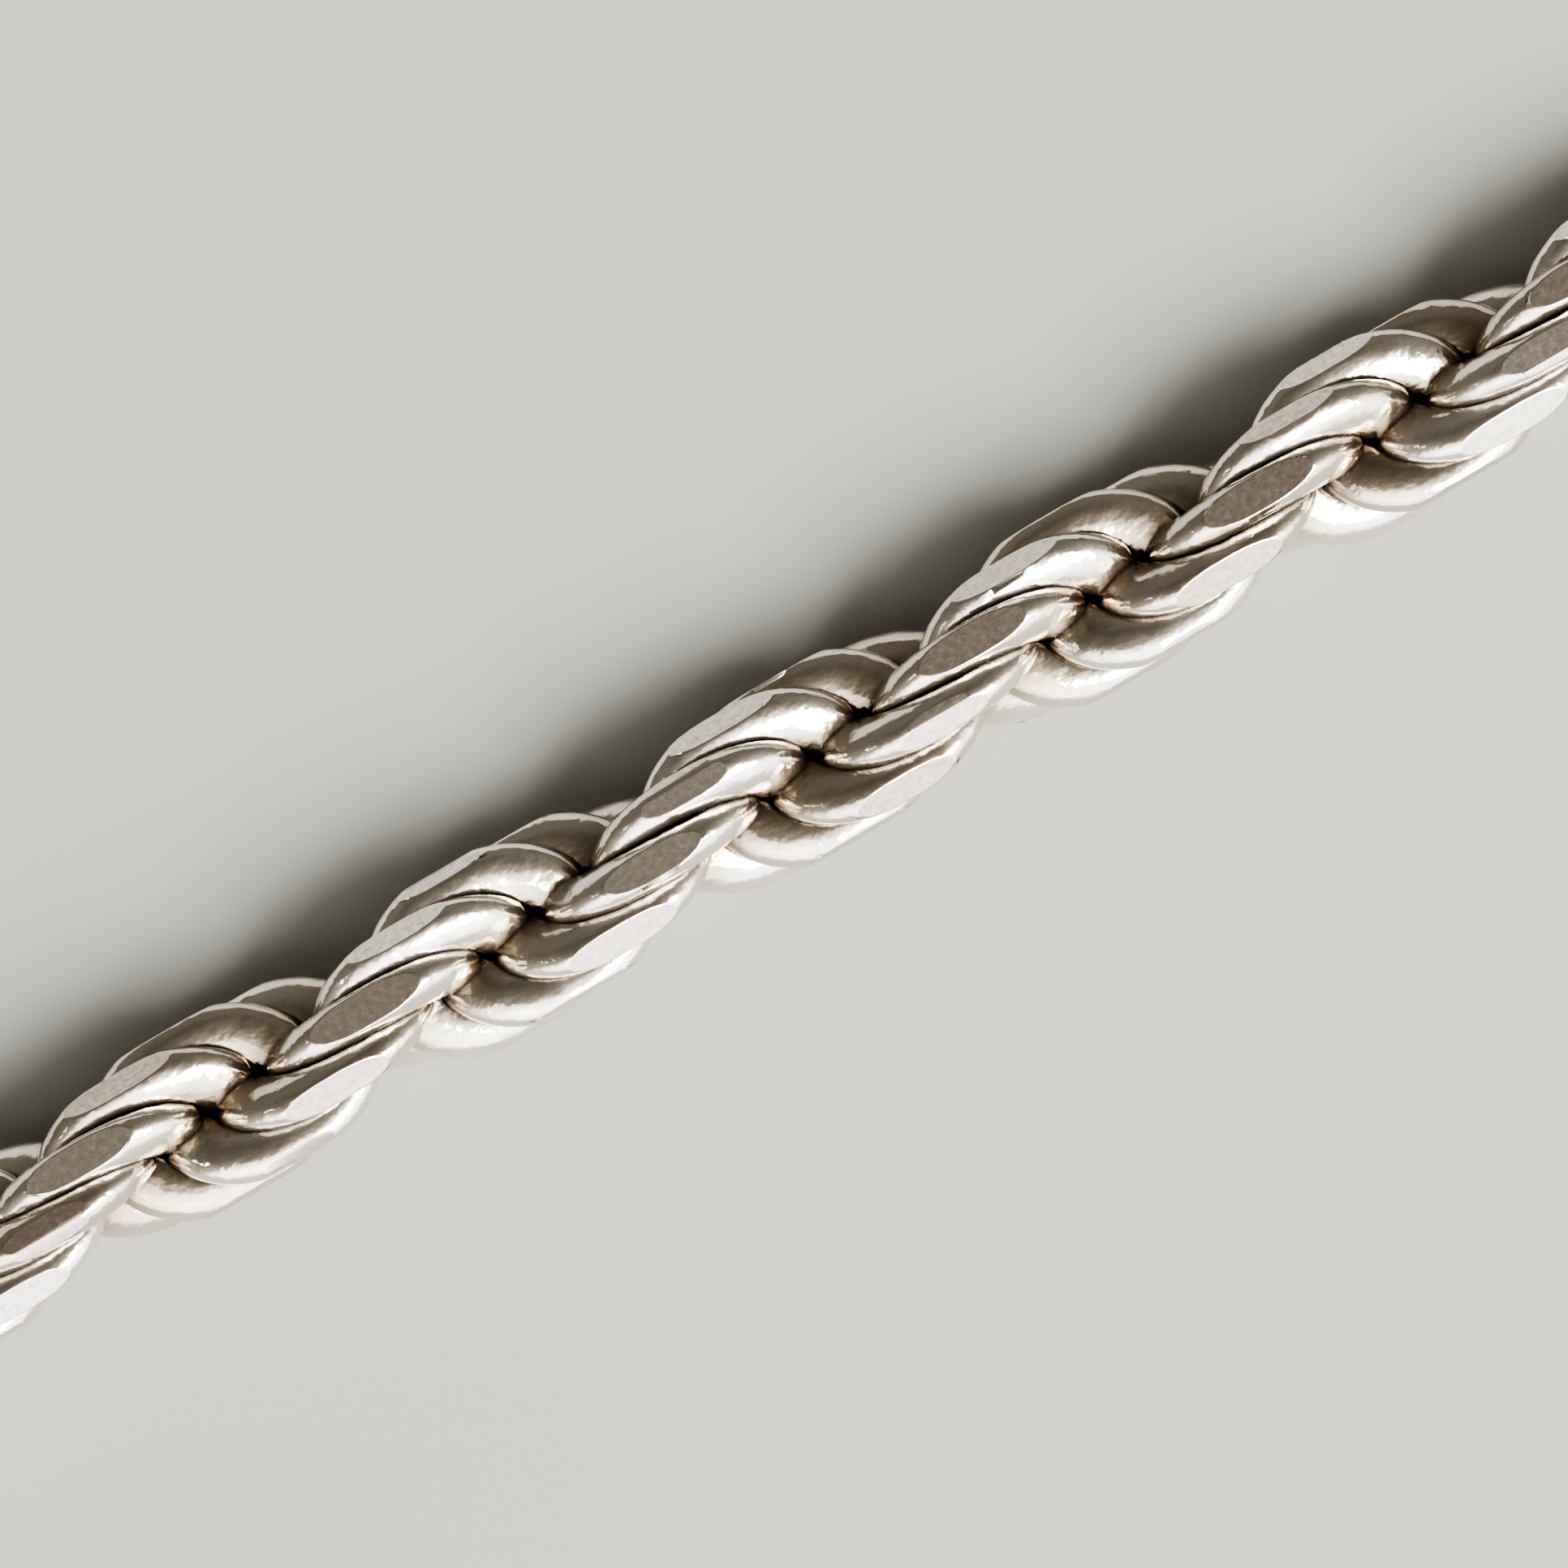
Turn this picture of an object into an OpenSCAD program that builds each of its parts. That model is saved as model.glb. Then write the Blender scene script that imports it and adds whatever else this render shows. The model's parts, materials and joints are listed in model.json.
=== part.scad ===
// A rope chain necklace of open round links, cut flat on eight sides and lying as a closed loop.
// The straight front stretch runs along X, the clasp closes the middle of the straight back stretch.

/* [Necklace] */
// Length of the whole loop along its centre line, clasp included
necklace_len = 508; // [440:2:600]
// Radius of the centre line where the loop turns at each side
bend_r = 50; // [44:1:60]

/* [Rope chain] */
// Width of the chain across two opposite cut faces
chain_w = 6; // [5:0.1:7]
// Wire that the links are bent from
wire_d = 1.36; // [1.1:0.02:1.5]
// How far the cutting goes into the crest of a link
cut_depth = 0.6; // [0.4:0.05:0.7]
// Clear space between the wires of two links that lie side by side
wire_gap = 0.21; // [0.16:0.01:0.4]
// Reach of a closed link end past the wire of the third link that holds it
seat_reach = 0.58; // [0.4:0.02:0.8]
// Clear space on each side of the wire that lies in the opening of a link
opening_gap = 0.32; // [0.25:0.01:0.5]
// Turn of the first link about the centre line, from lying flat
first_turn = 14; // [0:1:30]

/* [End caps] */
// Outer diameter of the cap on each end of the chain
cap_d = 5.5; // [5:0.1:5.8]
// Bore in the mouth of the cap
cap_bore_d = 4.6; // [4.2:0.1:4.8]
// How far the last link reaches into the cap
cap_grip = 0.7; // [0.4:0.05:0.75]
// Straight part of the cap behind its mouth
cap_skirt = 1.3; // [1.1:0.1:2.5]
// Wire of the eye on the back of the cap
cap_eye_wire_d = 1.1; // [0.9:0.1:1.3]
// Hole of that eye
cap_eye_hole_d = 1.9; // [1.7:0.1:2.4]

/* [Jump rings] */
// Wire of the two jump rings
jump_wire_d = 1; // [0.8:0.05:1.05]
// Inner diameter of the jump rings
jump_hole_d = 3.8; // [3.6:0.05:3.9]

/* [Clasp] */
// Length of the clasp from its eye to its nose
clasp_len = 16; // [13:0.5:20]
// Width of the clasp
clasp_w = 8.4; // [7.6:0.2:10]
// Thickness of the clasp
clasp_t = 2.4; // [2:0.1:2.5]
// Width of the bar round the opening of the claw
claw_bar_w = 1.4; // [1.2:0.1:1.6]
// Length of the opening in the claw
claw_opening_len = 8; // [6:0.5:9]
// Width of the bar round the eye of the clasp
clasp_eye_bar_w = 1.2; // [1:0.1:1.4]
// Hole of the eye of the clasp
clasp_eye_hole_d = 1.9; // [1.7:0.1:2.2]

/* [Clearance] */
// Clear space left where a ring hangs in an eye
ring_play = 0.15; // [0.1:0.01:0.2]

/* [Hidden] */

silver = "silver";
cut_sides = 8;
ring_fn = 48;
wire_fn = 16;
// How far a cutting solid runs past what it cuts
overrun = 1;

// The links: a round open ring, its centre line on the chain's centre line
chain_z = chain_w / 2;
link_r = chain_w / 2 + cut_depth - wire_d / 2;
link_out_r = link_r + wire_d / 2;
opening_half_angle = asin((wire_d / 2 + opening_gap) / (link_r + seat_reach));
// Three pitches bring a closed link end to the opening of the link before it
pitch_target = (2 * link_r + seat_reach) / 3;
twist_target = 2 * asin((wire_d + wire_gap) / (2 * sqrt(pow(link_r, 2) - pow(pitch_target / 2, 2))));

// The end caps: a skirt with a domed back and an eye on the dome
cap_bore_depth = cap_grip + ring_play;
cap_eye_r = (cap_eye_hole_d + cap_eye_wire_d) / 2;
cap_dome_end = cap_skirt + cap_d / 2;
cap_eye_x = cap_dome_end + cap_eye_r - cap_eye_wire_d / 4;

// How far a bar lies from the middle of the jump ring that holds it
function bar_seat(half_w, half_t) = sqrt(pow(jump_hole_d / 2 - ring_play, 2) - pow(half_t, 2)) - half_w;
cap_eye_seat = jump_hole_d / 2 - ring_play - cap_eye_wire_d / 2;
clasp_eye_seat = bar_seat(clasp_eye_bar_w / 2, clasp_t / 2);
claw_seat = bar_seat(claw_bar_w / 2, clasp_t / 2);

// Places along the back stretch, counted from the middle of the clasp
jump_left_x = -clasp_len / 2 + clasp_eye_bar_w / 2 - clasp_eye_seat;
jump_right_x = clasp_len / 2 - claw_bar_w / 2 + claw_seat;
cap_reach = cap_eye_x + cap_eye_r;
cap_left_x = jump_left_x - cap_eye_seat - cap_reach;
cap_right_x = jump_right_x + cap_eye_seat + cap_reach;
first_link_x = cap_left_x + cap_grip - link_out_r;
last_link_x = cap_right_x - cap_grip + link_out_r;

// A whole number of links and of half turns fills the loop from the first link to the last
first_link_u = -first_link_x;
back_span = last_link_x - first_link_x;
link_count = round((necklace_len - back_span) / pitch_target) + 1;
pitch = (necklace_len - back_span) / (link_count - 1);
half_turns = round((link_count - 1) * twist_target / 180);
twist = half_turns * 180 / (link_count - 1);
left_count = floor(link_count / 2);

// The loop: two straight stretches joined by two half circles
bend_len = PI * bend_r;
straight_len = (necklace_len - 2 * bend_len) / 2;
// The clasp is wider than the chain, so the loop sits back by half of what it adds to the box round it
loop_y = -max(0, clasp_w - chain_w) / 4;
back_left_end = straight_len / 2;
left_bend_end = back_left_end + bend_len;
front_end = left_bend_end + straight_len;
right_bend_end = front_end + bend_len;

// Heading of the centre line at a distance u along it from the middle of the back stretch
function heading(u) =
    u < back_left_end ? 180
    : u < left_bend_end ? 180 + 180 * (u - back_left_end) / bend_len
    : u < front_end ? 360
    : u < right_bend_end ? 360 + 180 * (u - front_end) / bend_len
    : 540;

// Point of the centre line at that distance
function centre_point(u) =
    u < back_left_end ? [-u, bend_r]
    : u < left_bend_end ? [-straight_len / 2 + bend_r * sin(heading(u)), -bend_r * cos(heading(u))]
    : u < front_end ? [u - left_bend_end - straight_len / 2, -bend_r]
    : u < right_bend_end ? [straight_len / 2 + bend_r * sin(heading(u)), -bend_r * cos(heading(u))]
    : [necklace_len - u, bend_r];

// A round wire bent along part of a circle about Z, from one angle to another
module bent_wire(r, wire, from, to) {
    rotate([0, 0, from])
        rotate_extrude(angle = to - from, $fn = ring_fn)
            translate([r, 0])
                circle(d = wire, $fn = wire_fn);
}

// A link with its opening towards +X; the last one is soldered shut
module open_link() {
    bent_wire(link_r, wire_d, opening_half_angle, 360 - opening_half_angle);
}

module closed_link() {
    rotate_extrude($fn = ring_fn)
        translate([link_r, 0])
            circle(d = wire_d, $fn = wire_fn);
}

// The eight flat cuts round the chain, as the space that they leave
module cut_space() {
    rotate([0, 90, 0])
        rotate([0, 0, 180 / cut_sides])
            cylinder(r = chain_w / 2 / cos(180 / cut_sides), h = 2 * (link_out_r + overrun),
                     center = true, $fn = cut_sides);
}

// One link at its place in the loop
module placed_link(i) {
    u = first_link_u + i * pitch;
    p = centre_point(u);
    translate([p[0], p[1] + loop_y, chain_z])
        rotate([0, 0, heading(u)])
            intersection() {
                rotate([first_turn - twist * i, 0, 0])
                    if (i == link_count - 1)
                        closed_link();
                    else
                        open_link();
                cut_space();
            }
}

module chain_left() {
    color(silver)
        for (i = [0 : left_count - 1])
            placed_link(i);
}

module chain_right() {
    color(silver)
        for (i = [left_count : link_count - 1])
            placed_link(i);
}

// A cap with its mouth at the origin and its eye towards +X
module end_cap() {
    color(silver)
        difference() {
            union() {
                rotate([0, 90, 0])
                    cylinder(d = cap_d, h = cap_skirt, $fn = ring_fn);
                translate([cap_skirt, 0, 0])
                    sphere(d = cap_d, $fn = ring_fn);
                translate([cap_eye_x, 0, 0])
                    rotate_extrude($fn = ring_fn)
                        translate([cap_eye_r, 0])
                            circle(d = cap_eye_wire_d, $fn = wire_fn);
            }
            translate([-cap_d, 0, 0])
                cube([2 * cap_d, 2 * cap_d, 2 * cap_d], center = true);
            translate([-overrun, 0, 0])
                rotate([0, 90, 0])
                    cylinder(d = cap_bore_d, h = overrun + cap_bore_depth, $fn = ring_fn);
        }
}

module end_cap_left() {
    translate([cap_left_x, bend_r + loop_y, chain_z])
        end_cap();
}

module end_cap_right() {
    translate([cap_right_x, bend_r + loop_y, chain_z])
        rotate([0, 0, 180])
            end_cap();
}

// A jump ring that stands upright, round the middle of its hole
module jump_ring(x) {
    color(silver)
        translate([x, bend_r + loop_y, chain_z])
            rotate([90, 0, 0])
                rotate_extrude($fn = ring_fn)
                    translate([(jump_hole_d + jump_wire_d) / 2, 0])
                        circle(d = jump_wire_d, $fn = wire_fn);
}

module jump_ring_left() {
    jump_ring(jump_left_x);
}

module jump_ring_right() {
    jump_ring(jump_right_x);
}

// Outline round two circles on the X axis and the lines that touch both
module drop_outline(x1, r1, x2, r2) {
    lean = acos((r1 - r2) / (x2 - x1));
    translate([x1, 0])
        circle(r = r1, $fn = ring_fn);
    translate([x2, 0])
        circle(r = r2, $fn = ring_fn);
    polygon([
        [x1 + r1 * cos(lean), r1 * sin(lean)],
        [x1 + r1 * cos(lean), -r1 * sin(lean)],
        [x2 + r2 * cos(lean), -r2 * sin(lean)],
        [x2 + r2 * cos(lean), r2 * sin(lean)]
    ]);
}

// The claw and its eye in one plain piece, drawn shut
module clasp() {
    eye_r = clasp_eye_hole_d / 2 + clasp_eye_bar_w;
    eye_x = -clasp_len / 2 + eye_r;
    claw_r = clasp_w / 2;
    claw_x = clasp_len / 2 - claw_r;
    opening_r = claw_r - claw_bar_w;
    opening_tail_r = opening_r / 2;
    opening_tail_x = clasp_len / 2 - claw_bar_w - claw_opening_len + opening_tail_r;
    color(silver)
        translate([0, bend_r + loop_y, chain_z])
            difference() {
                linear_extrude(height = clasp_t, center = true)
                    drop_outline(eye_x, eye_r, claw_x, claw_r);
                linear_extrude(height = clasp_t + 2 * overrun, center = true)
                    drop_outline(opening_tail_x, opening_tail_r, claw_x, opening_r);
                translate([eye_x, 0, 0])
                    cylinder(d = clasp_eye_hole_d, h = clasp_t + 2 * overrun, center = true, $fn = ring_fn);
            }
}

chain_left();
chain_right();
end_cap_left();
end_cap_right();
jump_ring_left();
jump_ring_right();
clasp();
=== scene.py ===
# %% [markdown]
# A rope chain necklace of sterling silver, cut flat on eight sides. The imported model
# gives the size and the place of every piece, so it is loaded first and its box is kept.
# The links, which the picture shows very close, are then made again with more detail.

# %% Load the frame
import json
import math
import random

import bmesh
import bpy
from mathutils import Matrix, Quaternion, Vector

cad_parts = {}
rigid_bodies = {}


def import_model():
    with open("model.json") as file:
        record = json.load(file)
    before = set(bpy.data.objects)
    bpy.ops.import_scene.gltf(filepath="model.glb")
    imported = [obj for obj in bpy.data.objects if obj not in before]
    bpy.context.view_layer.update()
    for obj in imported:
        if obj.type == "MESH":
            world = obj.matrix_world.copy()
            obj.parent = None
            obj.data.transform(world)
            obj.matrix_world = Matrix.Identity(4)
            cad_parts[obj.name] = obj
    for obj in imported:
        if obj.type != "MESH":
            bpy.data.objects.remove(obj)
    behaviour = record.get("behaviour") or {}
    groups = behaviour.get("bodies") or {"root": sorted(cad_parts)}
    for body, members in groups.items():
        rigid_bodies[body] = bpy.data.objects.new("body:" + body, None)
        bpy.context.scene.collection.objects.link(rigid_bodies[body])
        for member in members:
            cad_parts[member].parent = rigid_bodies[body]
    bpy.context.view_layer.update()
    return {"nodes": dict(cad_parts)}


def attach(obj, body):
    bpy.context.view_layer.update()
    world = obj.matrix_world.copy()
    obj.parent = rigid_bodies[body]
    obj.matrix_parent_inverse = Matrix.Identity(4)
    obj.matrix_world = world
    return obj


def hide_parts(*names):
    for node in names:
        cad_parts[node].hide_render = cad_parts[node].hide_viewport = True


bpy.ops.object.select_all(action="SELECT")
bpy.ops.object.delete()
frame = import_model()
MM = 0.001

# %% [markdown]
# The camera comes first, because it decides how much detail each link needs. It looks
# down from close by at the front stretch of the necklace, leaning eight degrees towards
# the near side. The chain lies along X, and the camera is turned about its line of
# sight so that the chain climbs to the right by thirty degrees.

# %% Camera
# The middle of the chain lies this high over the floor, in millimetres.
CHAIN_HEIGHT = 3.0
AIM = Vector((5.16, -50.81, CHAIN_HEIGHT)) * MM
VIEW_WIDTH = 52.7 * MM
VIEW_HEIGHT = 200 * MM
CLIMB = math.radians(30.3)
LEAN = math.radians(8)
SENSOR = 36
NEAREST = 5 * MM
FARTHEST = 10

line_of_sight = Vector((0, -math.sin(LEAN), math.cos(LEAN)))
lens = bpy.data.cameras.new("close_up")
lens.sensor_width = SENSOR
lens.lens = SENSOR * VIEW_HEIGHT / VIEW_WIDTH
lens.clip_start = NEAREST
lens.clip_end = FARTHEST
camera = bpy.data.objects.new("close_up", lens)
camera.location = AIM + line_of_sight * VIEW_HEIGHT
camera.rotation_mode = "QUATERNION"
camera.rotation_quaternion = Quaternion((1, 0, 0), LEAN) @ Quaternion((0, 0, 1), -CLIMB)
bpy.context.scene.collection.objects.link(camera)
bpy.context.scene.camera = camera
print("lens of", round(lens.lens, 1), "mm")

# %% [markdown]
# Blender's operators act on everything that is selected, and a freshly loaded model is
# selected. These small helpers clear the selection and pick parts of one mesh by place.
# A piece is scaled as an object and the scale is then applied, because the same scale
# in edit mode leaves its points less exact.

# %% Selection helpers


def take(piece):
    """Makes the piece the only selected and the active object."""
    bpy.ops.object.select_all(action="DESELECT")
    piece.select_set(True)
    bpy.context.view_layer.objects.active = piece


def edit(piece, mode="VERT"):
    """Opens the piece in edit mode with nothing selected."""
    take(piece)
    bpy.ops.object.mode_set(mode="EDIT")
    bpy.ops.mesh.select_mode(type=mode)
    bpy.ops.mesh.select_all(action="DESELECT")


def done():
    """Leaves edit mode and gives the piece."""
    bpy.ops.object.mode_set(mode="OBJECT")
    return bpy.context.view_layer.objects.active


def pick(kind, test):
    """Selects only the vertices, edges or faces of the open mesh that pass the test."""
    bpy.ops.mesh.select_all(action="DESELECT")
    shape = bmesh.from_edit_mesh(bpy.context.edit_object.data)
    chosen = [part for part in getattr(shape, kind) if test(part)]
    for part in chosen:
        part.select = True
    shape.select_flush_mode()
    bmesh.update_edit_mesh(bpy.context.edit_object.data)
    return len(chosen)


def rescale(piece, factor):
    """Scales the mesh of the piece about the origin and leaves the piece unscaled."""
    take(piece)
    piece.scale = (factor, factor, factor)
    bpy.ops.object.transform_apply(location=False, rotation=False, scale=True)


print("selected after loading:", len(bpy.context.selected_objects), "pieces")

# %% [markdown]
# On the real chain every link is a short length of round wire bent to an oblong ring.
# Winding and rolling the chain press the wire oval, so that it is deeper than wide and
# hardly a gap is left between the links. A curve with a bevel could give such a ring,
# but a torus is quicker. It is stretched along the chain by a fifth, which thickens its
# two rounded ends, and flattened to the oval wire. Then its halves are pulled apart to
# make it oblong. It is modelled in millimetres, because some operators round off
# distances as small as this wire when they are given in metres.

# %% A ring of bent wire, in millimetres
WIRE_ACROSS = 1.58
WIRE_DEEP = 2.1
LINK_LENGTH = 8.66
LINK_WIDTH = 6.72
LINK_STRETCH = 1.2
MIDDLE = (0, 0, 0)


def bent_ring(name, length, stretch, bends, sides):
    """A closed oblong ring of oval wire in the XY plane."""
    bpy.ops.object.select_all(action="DESELECT")
    bpy.ops.mesh.primitive_torus_add(
        major_radius=(LINK_WIDTH - WIRE_DEEP) / 2, minor_radius=WIRE_DEEP / 2,
        major_segments=bends, minor_segments=sides)
    ring = bpy.context.active_object
    ring.name = name
    edit(ring)
    bpy.ops.mesh.select_all(action="SELECT")
    half_step = math.pi / bends
    bpy.ops.transform.rotate(value=half_step, orient_axis="Z", center_override=MIDDLE)
    bpy.ops.transform.resize(value=(stretch, 1, WIRE_ACROSS / WIRE_DEEP),
                             center_override=MIDDLE)
    pull = (length - stretch * LINK_WIDTH) / 2
    for side in (-1, 1):
        pick("verts", lambda v: v.co.x * side > 0)
        bpy.ops.transform.translate(value=(side * pull, 0, 0))
    return done()


fine_ring = bent_ring("fine_ring", LINK_LENGTH, LINK_STRETCH, bends=72, sides=24)
plain_ring = bent_ring("plain_ring", LINK_LENGTH, LINK_STRETCH, bends=16, sides=6)
end_ring = bent_ring("end_ring", LINK_WIDTH, 1, bends=16, sides=6)
print("closed fine ring:", len(fine_ring.data.polygons), "faces")
print("closed plain ring:", len(plain_ring.data.polygons), "faces")

# %% [markdown]
# A real link is open: its gap is just wide enough for the wire of the next links, and
# its two arms are nipped off square. Here the gap is narrower than the wire, because
# deep in a tight chain no hole shows beside it. A boolean with a box could cut it, but
# two bisect planes do so along clean lines. They mark the gap, the faces between them
# are deleted and the two holes are filled. A third plane cuts the tips of the arms
# square, and on the fine ring a small bevel rounds their rims.

# %% Open the ring into a link
OPENING = 1.0
ARM_END = 4.05
ARM_ROUND = 0.12
ARM_ROUND_STEPS = 3
ON_PLANE = 1e-5
SQUARE = 0.999


def open_link(ring, rounded):
    """Cuts the gap towards +X, squares the arms and rounds their tips if asked."""
    edit(ring)
    for side in (-1, 1):
        pick("faces", lambda f: f.calc_center_median().x > 0)
        bpy.ops.mesh.bisect(plane_co=(0, side * OPENING / 2, 0), plane_no=(0, 1, 0),
                            threshold=ON_PLANE)
    pick("faces", lambda f: f.calc_center_median().x > 0
         and abs(f.calc_center_median().y) < OPENING / 2)
    bpy.ops.mesh.delete(type="FACE")
    bpy.ops.mesh.select_all(action="SELECT")
    bpy.ops.mesh.fill_holes(sides=0)
    bpy.ops.mesh.select_all(action="SELECT")
    bpy.ops.mesh.bisect(plane_co=(ARM_END, 0, 0), plane_no=(1, 0, 0), use_fill=True,
                        clear_outer=True, threshold=ON_PLANE)
    bpy.ops.mesh.select_mode(type="FACE")
    pick("faces", lambda f: f.normal.x > SQUARE)
    if rounded:
        bpy.ops.mesh.region_to_loop()
        bpy.ops.mesh.bevel(offset=ARM_ROUND, segments=ARM_ROUND_STEPS, clamp_overlap=True)
    done()
    print(ring.name, "opened:", len(ring.data.polygons), "faces")


open_link(fine_ring, rounded=True)
open_link(plain_ring, rounded=False)

# %% [markdown]
# The route of the necklace is the model's own: a straight back stretch with the clasp,
# a half circle, the straight front stretch and a second half circle. Each link sits on
# it a fixed step after the last one and is turned a fixed angle further, which winds
# the links into two strands that cross like a rope's. A curve could carry the links
# too, but the model's own numbers put each link where its solid lies. Lengths are in
# millimetres, and the twist from link to link and the first turn in degrees.

# %% Route and steps
NECKLACE = 508.0
BEND = 50.0
LOOP_Y = -0.6
LINK_COUNT = 221
LEFT_COUNT = 110
FIRST_LINK = 18.9488
STEP = 2.13773
TWIST = 33.54545
FIRST_TURN = 14.0
STRAIGHT = NECKLACE / 2 - math.pi * BEND


def place_on_route(along):
    """Point in mm and heading in radians at a distance from the middle of the back."""
    bend_start = STRAIGHT / 2
    front_start = bend_start + math.pi * BEND
    if along < bend_start:
        return Vector((-along, BEND + LOOP_Y, CHAIN_HEIGHT)), math.pi
    if along > NECKLACE / 2:
        point, heading = place_on_route(NECKLACE - along)
        return Vector((-point.x, point.y, point.z)), 4 * math.pi - heading
    if along < front_start:
        heading = math.pi + (along - bend_start) / BEND
        return Vector((-STRAIGHT / 2 + BEND * math.sin(heading),
                       -BEND * math.cos(heading) + LOOP_Y, CHAIN_HEIGHT)), heading
    return Vector((along - NECKLACE / 2, -BEND + LOOP_Y, CHAIN_HEIGHT)), 2 * math.pi


print("front stretch of", round(STRAIGHT, 1), "mm")

# %% [markdown]
# A diamond-cut chain gets its flats after it is wound: a fast hard tool skims eight
# flats along it and leaves a lens on each crest. A boolean with an eight-sided bar could
# cut them, but it is slow for so many links. The bisect operator cuts a turned link at
# each flat, throws away what lies outside and closes the cut. A cut that runs through a
# corner leaves two points on the same spot, so points closer than a micrometre are
# merged.

# %% Cut the eight flats
CHAIN_WIDTH = 6.0
CUT_SIDES = 8
CUT_REACH = CHAIN_WIDTH / 2
SAME_POINT = 0.001


def merge_points():
    """Merges the points of the open mesh that lie on the same spot."""
    bpy.ops.mesh.select_all(action="SELECT")
    bpy.ops.mesh.remove_doubles(threshold=SAME_POINT)


def cut_flats():
    """Cuts the open mesh on eight sides round the X axis."""
    for side in range(CUT_SIDES):
        angle = 2 * math.pi * side / CUT_SIDES
        out = Vector((0, math.cos(angle), math.sin(angle)))
        bpy.ops.mesh.select_all(action="SELECT")
        bpy.ops.mesh.bisect(plane_co=out * CUT_REACH, plane_no=out, use_fill=True,
                            clear_outer=True, threshold=ON_PLANE)
    merge_points()


print(CUT_SIDES, "flats, each", CUT_REACH, "mm from the middle of the chain")

# %% [markdown]
# The rim of each flat gets a narrow bevel, because a worn edge always catches a line of
# light. A bevel modifier would round every sharp edge, so the rims are picked first. A
# face counts as a flat if its normal points along one of the eight cuts and it lies as
# far out as the cut, and an edge between such a face and another one is a rim. The
# flats also get the second material of the link and a sharp edge, so that smooth
# shading doesn't round them off.

# %% Rims and finish of the flats
RIM = 0.035
RIM_STEPS = 2
FLAT_ENOUGH = 0.01
WIRE_SLOT, FLAT_SLOT = 0, 1


def on_a_flat(face):
    """True if the face lies on one of the eight cuts round the X axis."""
    turn = math.atan2(face.normal.z, face.normal.y) * CUT_SIDES / (2 * math.pi)
    reach = face.calc_center_median().dot(face.normal)
    return (abs(face.normal.x) < FLAT_ENOUGH and abs(turn - round(turn)) < FLAT_ENOUGH
            and abs(reach - CUT_REACH) < SAME_POINT)


def rim_of_a_flat(edge):
    """True if one side of the edge is a flat and the other is the round wire."""
    sides = [on_a_flat(face) for face in edge.link_faces]
    return len(sides) == 2 and sides[0] != sides[1]


def bevel_rims():
    """Gives the flats of the open mesh a narrow worn rim."""
    bpy.ops.mesh.select_mode(type="EDGE")
    pick("edges", rim_of_a_flat)
    bpy.ops.mesh.bevel(offset=RIM, segments=RIM_STEPS, clamp_overlap=False,
                       material=WIRE_SLOT)
    merge_points()


def mark_flats(link):
    """Gives the flats of the open link their own material and a sharp edge."""
    bpy.ops.mesh.select_mode(type="FACE")
    pick("faces", on_a_flat)
    link.active_material_index = FLAT_SLOT
    bpy.ops.object.material_slot_assign()
    bpy.ops.mesh.region_to_loop()
    bpy.ops.mesh.mark_sharp()


print("rims of", RIM, "mm")

# %% [markdown]
# An array of links along a curve would be quick, but each link has its own turn and so
# its own cuts. Each one therefore starts as a copy of a ring with its own mesh. It is
# turned about the X axis by its share of the twist, cut, and then carried to its place
# on the route and turned into the direction of the chain.

# %% Lay one link on the route


def lay_link(ring, number, fine=False, turn=0.0, shift=0.0):
    """A copy of the ring, turned, cut on eight sides and put at its place in the loop."""
    link = ring.copy()
    link.data = ring.data.copy()
    bpy.context.scene.collection.objects.link(link)
    edit(link)
    bpy.ops.mesh.select_all(action="SELECT")
    roll = math.radians(FIRST_TURN - TWIST * number + turn)
    bpy.ops.transform.rotate(value=-roll, orient_axis="X", center_override=MIDDLE)
    cut_flats()
    if fine:
        bevel_rims()
    mark_flats(link)
    done()
    point, heading = place_on_route(FIRST_LINK + number * STEP + shift)
    link.location = point
    link.rotation_euler = (0, 0, heading)
    return link


print("first link", FIRST_LINK, "mm from the middle of the clasp")

# %% [markdown]
# Every material below is built from nodes. One small function adds a node with its
# settings, its links and, for a colour ramp, its stops. Another turns the hex colours of
# a colour picker into the linear numbers that the shader wants.

# %% Node and colour helpers


def linear(hex_colour):
    """Linear RGBA of an sRGB hex colour."""
    def channel(text):
        value = int(text, 16) / 255
        return value / 12.92 if value <= 0.04045 else ((value + 0.055) / 1.055) ** 2.4
    return tuple(channel(hex_colour[i:i + 2]) for i in (0, 2, 4)) + (1.0,)


def add_node(tree, kind, settings=None, inputs=None, stops=()):
    """Adds a node; an input is a value or an output socket, a stop a place and a hex."""
    node = tree.nodes.new(kind)
    for name, value in (settings or {}).items():
        setattr(node, name, value)
    for name, value in (inputs or {}).items():
        if isinstance(value, bpy.types.NodeSocket):
            tree.links.new(value, node.inputs[name])
        else:
            node.inputs[name].default_value = value
    for number, (place, colour) in enumerate(stops):
        marks = node.color_ramp.elements
        mark = marks[number] if number < len(marks) else marks.new(place)
        mark.position = place
        mark.color = linear(colour)
    return node


print("half grey in linear light:", round(linear("808080")[0], 3))

# %% [markdown]
# Three finishes of silver follow, and they share their start and their end. Silver is a
# metal, so its Metallic is 1 and its base colour is what it reflects. Its patterns are
# fixed to the piece by object coordinates. Each finish ends in a colour, a bump, and a
# roughness that wanders between two values with a noise. No two links of a worn chain
# are equally bright, so a number called tone, which each link carries, tints the colour.

# %% What the finishes of silver share
NOISE_LOW, NOISE_HIGH = 0.3, 0.7
RIDGE = 0.02 * MM


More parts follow.
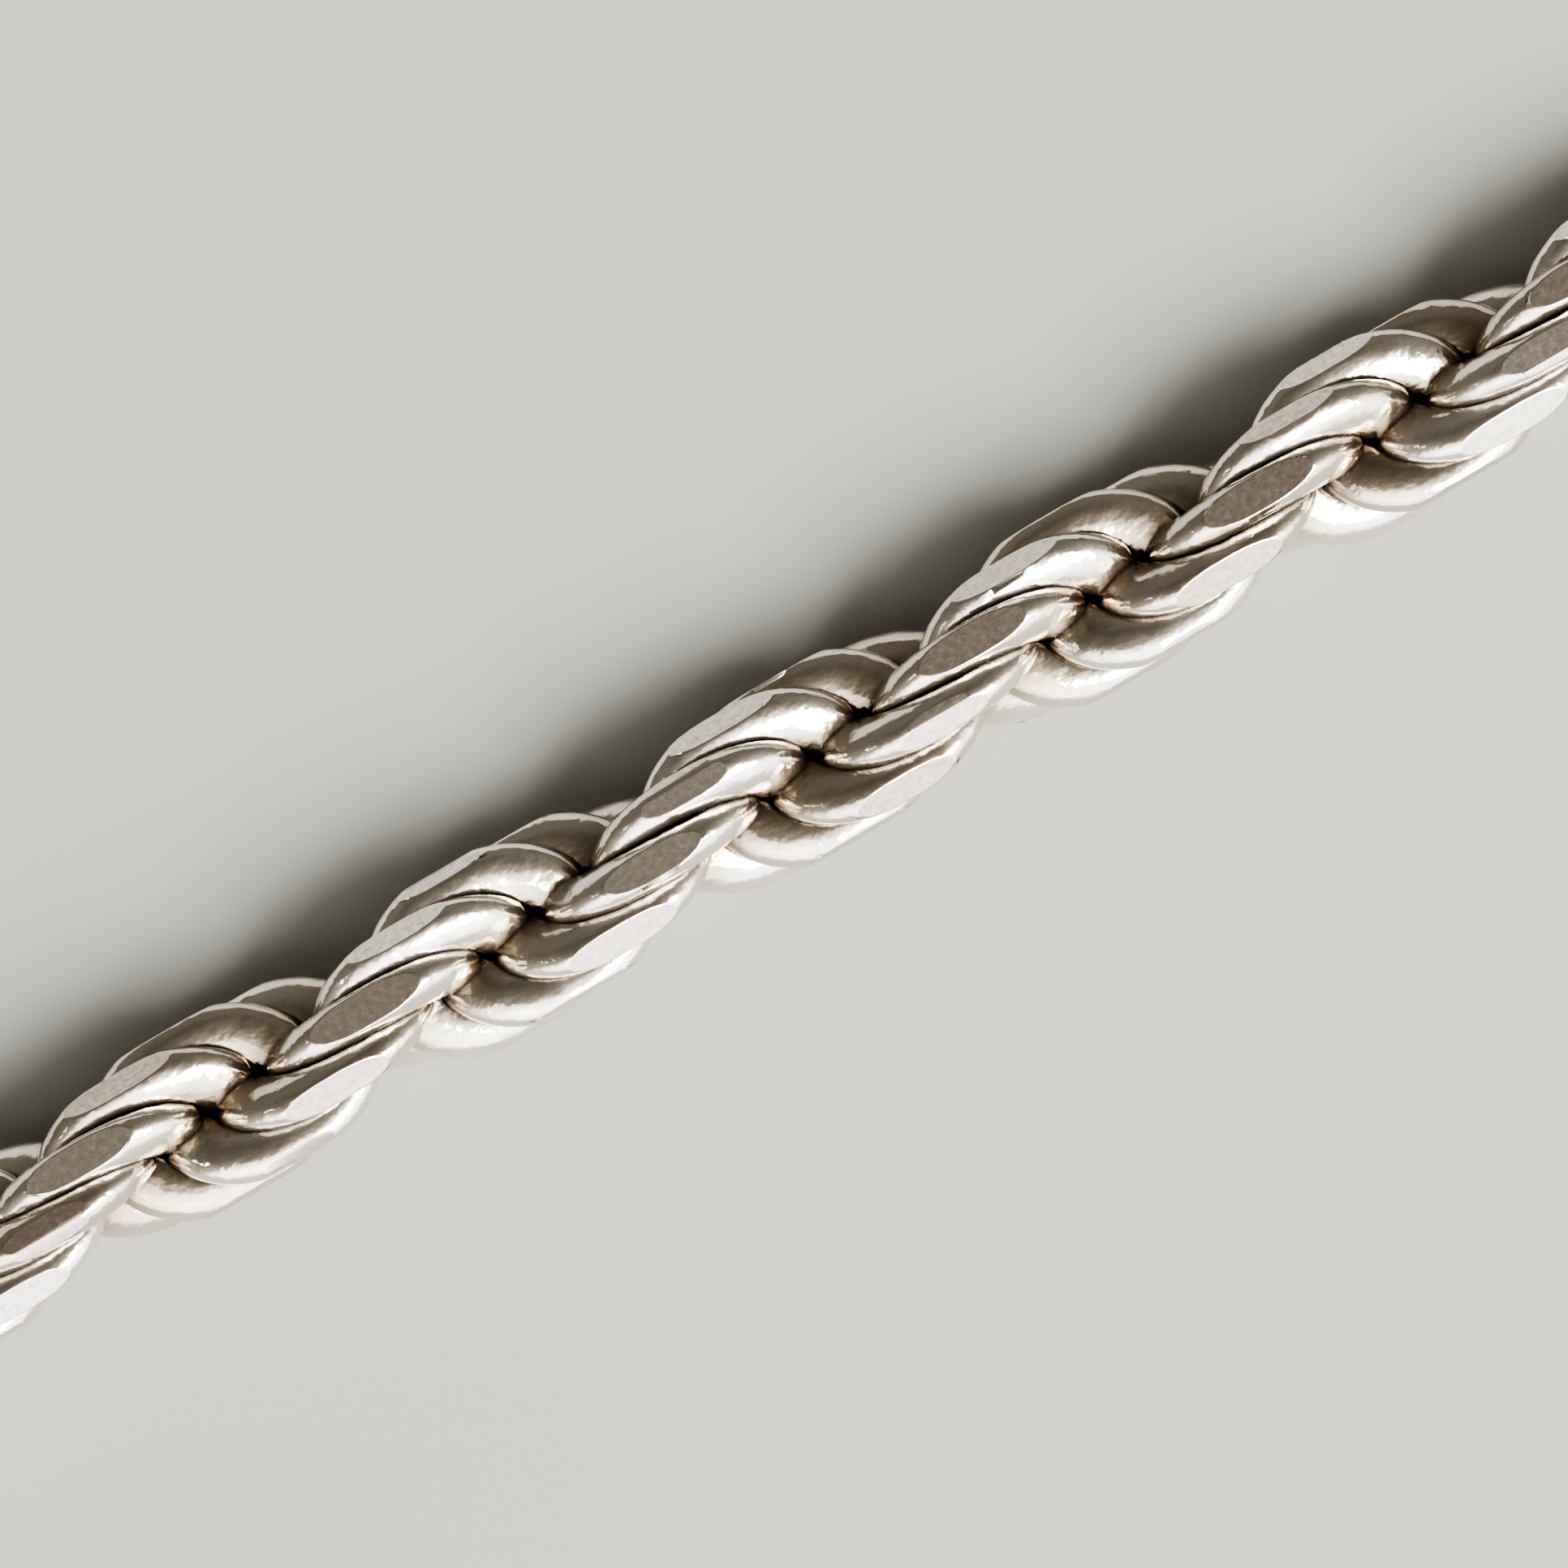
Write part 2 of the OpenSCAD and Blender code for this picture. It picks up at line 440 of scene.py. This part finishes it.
def new_silver(name):
    """A new metallic material, its node tree and its object coordinates."""
    made = bpy.data.materials.new(name)
    made.use_nodes = True
    made.node_tree.nodes["Principled BSDF"].inputs["Metallic"].default_value = 1.0
    place = add_node(made.node_tree, "ShaderNodeTexCoord")
    return made, made.node_tree, place.outputs["Object"]


def toned(tree, colour, dullest):
    """The colour tinted by the tone of the link, down to the dullest."""
    tone = add_node(tree, "ShaderNodeAttribute", {"attribute_name": "tone"})
    tint = add_node(tree, "ShaderNodeValToRGB", inputs={"Fac": tone.outputs["Fac"]},
                    stops=[(0.0, "FFFFFF"), (1.0, dullest)])
    product = add_node(tree, "ShaderNodeVectorMath", {"operation": "MULTIPLY"}, {
        0: colour, 1: tint.outputs["Color"]})
    return product.outputs["Vector"]


def finish_silver(tree, colour, bump, uneven, smoothest, roughest):
    """Gives the shader its colour, its bump and a roughness that follows a noise."""
    rough = add_node(tree, "ShaderNodeMapRange", inputs={
        "Value": uneven, "From Min": NOISE_LOW, "From Max": NOISE_HIGH,
        "To Min": smoothest, "To Max": roughest})
    shader = tree.nodes["Principled BSDF"]
    tree.links.new(colour, shader.inputs["Base Color"])
    tree.links.new(bump.outputs["Normal"], shader.inputs["Normal"])
    tree.links.new(rough.outputs["Result"], shader.inputs["Roughness"])


print("ridges", round(RIDGE / MM, 3), "mm deep")

# %% [markdown]
# The links are sterling silver wire, almost white and a little warm. It was drawn and
# tumbled, then worn on the skin. That gives the eye soft, slightly dented reflections
# with hair-fine scratches in them. A brown film of tarnish lies deep between the links
# where no cloth reaches. It follows a number called depth, from 0 on the crests to 1
# near the middle of the chain, that each link carries on its points. The narrow crease
# where two links touch is painted almost black as shade. An ambient occlusion node finds
# it, because it tells how open the space over a point is.

# %% Worn polished sterling silver
# Real scratches are ten times finer, too fine to show, so they are drawn coarser.
SCRATCH_MM = 0.12
SCRATCH_STRETCH = (0.25, 1.0, 1.0)
HANDLING_MM = 1.6
HANDLING_SHARE = 0.35
DENT_MM = 0.7
DENT_DEEP = 0.06 * MM
CREASE_MM = 0.4


def worn_polished_silver():
    """Tumbled sterling silver wire with fine scratches, tarnish in the depths and painted
    shade in the creases.
    """
    made, tree, place = new_silver("sterling_silver_worn_polish")
    along = add_node(tree, "ShaderNodeMapping", inputs={
        "Vector": place, "Scale": SCRATCH_STRETCH})
    scratches = add_node(tree, "ShaderNodeTexNoise", inputs={
        "Vector": along.outputs["Vector"], "Scale": 1 / (SCRATCH_MM * MM), "Detail": 3.0})
    handling = add_node(tree, "ShaderNodeTexNoise", inputs={
        "Vector": place, "Scale": 1 / (HANDLING_MM * MM), "Detail": 2.0})
    depth = add_node(tree, "ShaderNodeAttribute", {"attribute_name": "depth"})
    film = add_node(tree, "ShaderNodeMath", {"operation": "MULTIPLY_ADD"}, {
        0: handling.outputs["Fac"], 1: HANDLING_SHARE, 2: depth.outputs["Fac"]})
    colour = add_node(tree, "ShaderNodeValToRGB", inputs={"Fac": film.outputs["Value"]},
                      stops=[(0.15, "F6F1E8"), (0.45, "E4DDD0"), (0.75, "B5AA99"),
                             (1.0, "5E534A")])
    # Painted shade: how closed in a point is darkens its colour, almost to black in the
    # creases between links.
    openness = add_node(tree, "ShaderNodeAmbientOcclusion", {"samples": 4}, {
        "Distance": CREASE_MM * MM})
    crease = add_node(tree, "ShaderNodeValToRGB", inputs={"Fac": openness.outputs["AO"]},
                      stops=[(0.38, "2A1C13"), (0.72, "FFFFFF")])
    crease_shaded = add_node(tree, "ShaderNodeVectorMath", {"operation": "MULTIPLY"}, {
        0: colour.outputs["Color"], 1: crease.outputs["Color"]})
    dents = add_node(tree, "ShaderNodeTexNoise", inputs={
        "Vector": place, "Scale": 1 / (DENT_MM * MM), "Detail": 2.5})
    dented = add_node(tree, "ShaderNodeBump", inputs={
        "Height": dents.outputs["Fac"], "Strength": 0.9, "Distance": DENT_DEEP})
    scratched = add_node(tree, "ShaderNodeBump", inputs={
        "Height": scratches.outputs["Fac"], "Strength": 0.12, "Distance": RIDGE,
        "Normal": dented.outputs["Normal"]})
    finish_silver(tree, toned(tree, crease_shaded.outputs["Vector"], "E2DAD2"), scratched,
                  handling.outputs["Fac"], smoothest=0.10, roughest=0.20)
    return made


silver = worn_polished_silver()
print("material:", silver.name)

# %% [markdown]
# The flats were skimmed by a fast hard tool. It leaves marks much finer than a hair,
# which give the flats a slightly grainy, greyer shine than the wire beside them. So they
# have a material of their own with a rougher finish and a mottled bump.

# %% Skimmed flats of sterling silver
# The real grain is a few hundredths of a millimetre, drawn coarser so that it shows.
GRAIN_MM = 0.10
PATCH_MM = 0.22


def skimmed_silver():
    """The flats of a diamond-cut chain: grainy, with soft patches."""
    made, tree, place = new_silver("sterling_silver_skimmed_flat")
    grain = add_node(tree, "ShaderNodeTexNoise", inputs={
        "Vector": place, "Scale": 1 / (GRAIN_MM * MM), "Detail": 4.0})
    patch = add_node(tree, "ShaderNodeTexNoise", inputs={
        "Vector": place, "Scale": 1 / (PATCH_MM * MM), "Detail": 2.0})
    colour = add_node(tree, "ShaderNodeValToRGB", inputs={"Fac": patch.outputs["Fac"]},
                      stops=[(0.35, "FFF9F0"), (0.65, "DAD3C8")])
    bump = add_node(tree, "ShaderNodeBump", inputs={
        "Height": grain.outputs["Fac"], "Strength": 0.30, "Distance": RIDGE})
    finish_silver(tree, toned(tree, colour.outputs["Color"], "C4B6B2"), bump,
                  patch.outputs["Fac"], smoothest=0.16, roughest=0.28)
    return made


flats = skimmed_silver()
for ring in (fine_ring, plain_ring, end_ring):
    ring.data.materials.append(silver)
    ring.data.materials.append(flats)
print("material:", flats.name)

# %% [markdown]
# Tarnish grows where no cloth reaches, so the material has to know how deep a point
# lies. Its distance to the axis of the chain tells that, which is easy to measure while
# the points of a link are still counted from the link's own middle. So it is stored as
# a number on each point before the links are joined. A second number, the tone, is the
# same all over one link: it was rubbed a little more or less than its neighbours.

# %% Depth below the crests and tone of a link
TARNISH_FROM = 2.5
TARNISH_FULL = 0.5


def give_depth(piece):
    """Stores how deep each point lies below the crests, from 0 to 1."""
    store = piece.data.attributes.new("depth", "FLOAT", "POINT")
    for vertex in piece.data.vertices:
        reach = math.hypot(vertex.co.y, vertex.co.z)
        depth = (TARNISH_FROM - reach) / (TARNISH_FROM - TARNISH_FULL)
        store.data[vertex.index].value = min(1.0, max(0.0, depth))


def give_tone(piece, tone):
    """Stores one number for the whole link, from 0 for bright to 1 for dull."""
    store = piece.data.attributes.new("tone", "FLOAT", "POINT")
    store.data.foreach_set("value", [tone] * len(piece.data.vertices))


print("tarnish starts", round(CUT_REACH - TARNISH_FROM, 2), "mm below the flats")

# %% [markdown]
# The real chain has the same link 221 times. The links near the camera get the fine
# ring and small differences in turn and place, as hand-wound links have. All others get
# the plain ring with its few faces, because a shape that repeats this often adds up
# fast. The first and the last link are closed round rings, because they reach into the
# caps. Turns, shifts and tones are drawn by chance from a fixed start, so that each run
# gives the same chain.

# %% Links of one half
FINE_FROM, FINE_TO = -32.0, 42.0
TURN_SPREAD = 1.5
SHIFT_SPREAD = 0.05


def half_the_links(name, numbers):
    """Lays the links with these numbers, fine ones near the camera."""
    chance = random.Random(name)
    tones = random.Random("film_of_" + name)
    links = []
    for number in numbers:
        point, heading = place_on_route(FIRST_LINK + number * STEP)
        if point.y < -BEND and FINE_FROM < point.x < FINE_TO:
            link = lay_link(fine_ring, number, fine=True,
                            turn=chance.uniform(-TURN_SPREAD, TURN_SPREAD),
                            shift=chance.uniform(-SHIFT_SPREAD, SHIFT_SPREAD))
        elif number in (0, LINK_COUNT - 1):
            link = lay_link(end_ring, number)
        else:
            link = lay_link(plain_ring, number)
        give_depth(link)
        give_tone(link, tones.random())
        links.append(link)
    return links


print("fine links from", FINE_FROM, "to", FINE_TO, "mm")

# %% [markdown]
# Each half of the chain is joined to one piece and replaces the model's plainer half.
# It is scaled from millimetres to metres only after all cuts and bevels are made.

# %% The two halves of the chain


def half_chain(name, numbers, node_name):
    """Joins the links with these numbers to one piece that stands for the node."""
    links = half_the_links(name, numbers)
    bpy.ops.object.select_all(action="DESELECT")
    for link in links:
        link.select_set(True)
    bpy.context.view_layer.objects.active = links[0]
    bpy.ops.object.join()
    piece = bpy.context.active_object
    piece.name = name
    bpy.ops.object.transform_apply(location=True, rotation=True, scale=True)
    rescale(piece, MM)
    bpy.ops.object.shade_smooth(keep_sharp_edges=True)
    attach(piece, "root")
    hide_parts(node_name)
    triangles = sum(len(face.vertices) - 2 for face in piece.data.polygons)
    print(name, "has", len(links), "links and", triangles, "triangles")


half_chain("rope_links_left", range(LEFT_COUNT), "chain_left")
half_chain("rope_links_right", range(LEFT_COUNT, LINK_COUNT), "chain_right")
for ring in (fine_ring, plain_ring, end_ring):
    bpy.data.objects.remove(ring)

# %% [markdown]
# Caps and clasp were cast and tumbled, not drawn and skimmed. That leaves a satin skin:
# the same silver, rougher than the wire, with a very fine grain. A separate material
# keeps the difference visible when the light moves over both.

# %% Cast and tumbled silver
# The real grain is finer than a tenth of a millimetre, drawn coarser so that it shows.
CAST_GRAIN_MM = 0.18


def cast_silver():
    """Cast sterling silver with a tumbled satin skin."""
    made, tree, place = new_silver("sterling_silver_cast_satin")
    grain = add_node(tree, "ShaderNodeTexNoise", inputs={
        "Vector": place, "Scale": 1 / (CAST_GRAIN_MM * MM), "Detail": 3.0})
    colour = add_node(tree, "ShaderNodeValToRGB", inputs={"Fac": grain.outputs["Fac"]},
                      stops=[(0.3, "E6E0D6"), (0.7, "F0EBE3")])
    bump = add_node(tree, "ShaderNodeBump", inputs={
        "Height": grain.outputs["Fac"], "Strength": 0.10, "Distance": RIDGE})
    finish_silver(tree, colour.outputs["Color"], bump, grain.outputs["Fac"],
                  smoothest=0.26, roughest=0.36)
    return made


satin = cast_silver()
print("material:", satin.name)

# %% [markdown]
# Caps, rings and clasp close the necklace at the back. Their shapes in the model are
# right, but cast silver has no sharp edges. A loaded mesh is loose triangles and has to
# stay as it is, so a copy is merged, its flat faces are dissolved into one each, and
# its sharp edges get a round bevel.

# %% Soften a casting
SHARP = math.radians(35)
LEVEL = math.radians(0.5)
LOOSE_POINT = 0.002
ROUND_STEPS = 4


def softened(name, node_name, width, keep):
    """A copy of a model piece in cast silver, with those sharp edges rounded."""
    piece = frame["nodes"][node_name].copy()
    piece.data = piece.data.copy()
    piece.name = name
    piece.parent = None
    bpy.context.scene.collection.objects.link(piece)
    rescale(piece, 1 / MM)
    bpy.ops.mesh.customdata_custom_splitnormals_clear()
    edit(piece, "EDGE")
    bpy.ops.mesh.select_all(action="SELECT")
    bpy.ops.mesh.remove_doubles(threshold=LOOSE_POINT)
    bpy.ops.mesh.dissolve_limited(angle_limit=LEVEL)
    count = pick("edges", lambda e: len(e.link_faces) == 2
                 and e.calc_face_angle(0) > SHARP and keep(e))
    bpy.ops.mesh.bevel(offset=width, segments=ROUND_STEPS, clamp_overlap=False)
    rescale(done(), MM)
    bpy.ops.object.shade_smooth_by_angle(angle=SHARP)
    piece.data.materials.clear()
    piece.data.materials.append(satin)
    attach(piece, "root")
    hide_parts(node_name)
    print(name, "with", count, "rounded edges and", len(piece.data.polygons), "faces")


print("an edge is sharp above", round(math.degrees(SHARP)), "degrees")

# %% [markdown]
# The clasp was filed and tumbled most, so its edges are the roundest. A cap only has
# its mouth rounded: the line where its eye grows out of the dome is a hollow corner.
# The two jump rings are drawn wire, round already, so they keep their model shape and
# share the polished silver of the links.

# %% Clasp, caps and rings
CLASP_ROUND = 0.5
CAP_ROUND = 0.16
MOUTH_REACH = 2.2


def near_mouth(edge):
    """True for the rims at the mouth of a cap, which lie far from its axis."""
    middle = (edge.verts[0].co + edge.verts[1].co) / 2
    return math.hypot(middle.y - BEND - LOOP_Y, middle.z - CHAIN_HEIGHT) > MOUTH_REACH


softened("soft_clasp", "clasp", CLASP_ROUND, lambda edge: True)
for side in ("left", "right"):
    softened("soft_cap_" + side, "end_cap_" + side, CAP_ROUND, near_mouth)
    jump_ring = frame["nodes"]["jump_ring_" + side]
    jump_ring.data.materials.clear()
    jump_ring.data.materials.append(silver)
    print(jump_ring.name, "in", silver.name)

# %% [markdown]
# The necklace lies on a plain pale floor, matt like paper. It matters more than it
# seems: the undersides and the outer sides of the links mirror it.

# %% Floor
FLOOR_SIZE = 3.0

bpy.ops.object.select_all(action="DESELECT")
bpy.ops.mesh.primitive_plane_add(size=FLOOR_SIZE, location=(0, 0, 0))
floor = bpy.context.active_object
floor.name = "floor"
floor_paint = bpy.data.materials.new("matt_pale_floor")
floor_paint.use_nodes = True
floor_shader = floor_paint.node_tree.nodes["Principled BSDF"]
floor_shader.inputs["Base Color"].default_value = linear("838582")
floor_shader.inputs["Roughness"].default_value = 0.9
floor.data.materials.append(floor_paint)
print("floor:", floor_paint.name)

# %% [markdown]
# Daylight comes through a broad window on the lower right of the picture, halfway up
# the sky. It throws a soft shadow to the upper left that is dark under the chain and
# fades within one width of it. A pale wall on the left and one tiny glint add the small
# lights on the crowns of the links. Each lamp is given by its turn from +X and its rise
# in degrees, its width and height in metres, and its power in watts.

# %% Lamps
LAMP_FAR = 0.5
FRONT_STRETCH = Vector((0, -BEND * MM, 0))
DAYLIGHT = "FFF9F2"


def add_lamp(name, turn, rise, width, height, watts):
    """A soft lamp half a metre from the front stretch, turned towards it."""
    turn, rise = math.radians(turn), math.radians(rise)
    toward = Vector((math.cos(rise) * math.cos(turn), math.cos(rise) * math.sin(turn),
                     math.sin(rise)))
    data = bpy.data.lights.new(name, "AREA")
    data.shape = "RECTANGLE"
    data.size = width
    data.size_y = height
    data.energy = watts
    data.color = linear(DAYLIGHT)[:3]
    lamp = bpy.data.objects.new(name, data)
    lamp.location = FRONT_STRETCH + toward * LAMP_FAR
    lamp.rotation_euler = (-toward).to_track_quat("-Z", "Y").to_euler()
    bpy.context.scene.collection.objects.link(lamp)
    print(name, "at", [round(v, 2) for v in lamp.location], "m")


add_lamp("window", -60, 45, 0.44, 0.19, 14)
add_lamp("small_glint", 172, 40, 0.02, 0.02, 0.045)
add_lamp("left_wall", 228, 45, 0.34, 0.34, 1.0)

# %% [markdown]
# Polished silver shows the room more than itself. So the room is painted by direction:
# dark behind the chain and above it, where the viewer stands, and bright all along the
# window side. The jump between the two gives the links their crisp white ribbons next
# to grey ones. A second ramp, by height, dims what lies low and what lies straight up.

# %% Room
BRIGHT_TURN = math.radians(-88)
ROOM_STRENGTH = 8.0

world = bpy.data.worlds.new("plain_room")
world.use_nodes = True
bpy.context.scene.world = world
room = world.node_tree
way = add_node(room, "ShaderNodeTexCoord").outputs["Generated"]
bright_way = (math.cos(BRIGHT_TURN), math.sin(BRIGHT_TURN), 0.0)
toward_window = add_node(room, "ShaderNodeVectorMath", {"operation": "DOT_PRODUCT"}, {
    0: way, 1: bright_way})
side = add_node(room, "ShaderNodeMapRange", inputs={
    "Value": toward_window.outputs["Value"], "From Min": -1.0, "From Max": 1.0})
walls = add_node(room, "ShaderNodeValToRGB", inputs={"Fac": side.outputs["Result"]},
                 stops=[(0.02, "272521"), (0.24, "272521"), (0.44, "38352F"),
                        (0.60, "57534C"), (0.78, "F2EFEA"), (0.90, "FFFDFA")])
up = add_node(room, "ShaderNodeSeparateXYZ", inputs={"Vector": way})
rise = add_node(room, "ShaderNodeValToRGB", inputs={"Fac": up.outputs["Z"]},
                stops=[(0.0, "BCBCBC"), (0.25, "FFFFFF"), (0.56, "FFFFFF"),
                       (0.82, "CCC8C2")])
painted = add_node(room, "ShaderNodeVectorMath", {"operation": "MULTIPLY"}, {
    0: walls.outputs["Color"], 1: rise.outputs["Color"]})
background = room.nodes["Background"]
room.links.new(painted.outputs["Vector"], background.inputs["Color"])
background.inputs["Strength"].default_value = ROOM_STRENGTH
print("room:", world.name)
